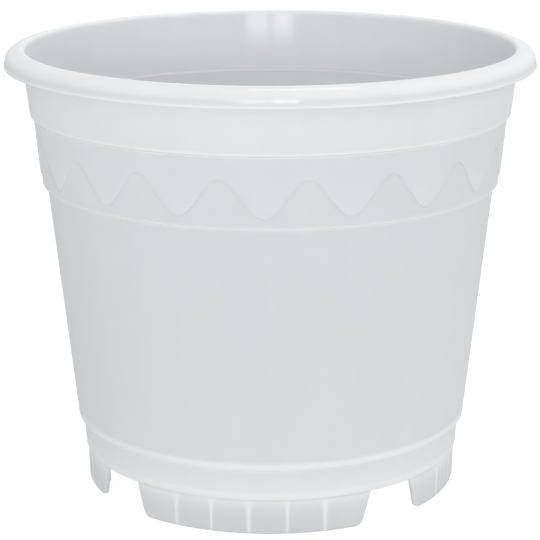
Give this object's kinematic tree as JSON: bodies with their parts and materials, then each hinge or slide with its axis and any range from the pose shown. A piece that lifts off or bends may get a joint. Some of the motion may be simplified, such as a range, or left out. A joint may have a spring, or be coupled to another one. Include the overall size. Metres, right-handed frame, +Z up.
{
  "type": "plant pot",
  "caption": "Round tapered nursery pot in milky plastic with a rolled rim, a band with a wavy relief, a drained floor and short curved feet with gaps that let water out.",
  "frame": {"origin": "on the ground under the middle of the pot", "axes": "+Z up along the pot's axis, -Y through the middle of a foot towards the viewer, +X to the viewer's right"},
  "size_m": [0.16, 0.16, 0.135],
  "materials": {
    "milky_polypropylene": "natural polypropylene as moulded, milky and slightly see-through, soft gloss"
  },
  "bodies": {
    "root": {"rolled_rim": "milky_polypropylene", "upper_band": "milky_polypropylene", "wave_band": "milky_polypropylene", "main_wall": "milky_polypropylene", "base_band": "milky_polypropylene", "drained_floor": "milky_polypropylene", "foot_1": "milky_polypropylene", "foot_2": "milky_polypropylene", "foot_3": "milky_polypropylene", "foot_4": "milky_polypropylene"}
  },
  "joints": []
}
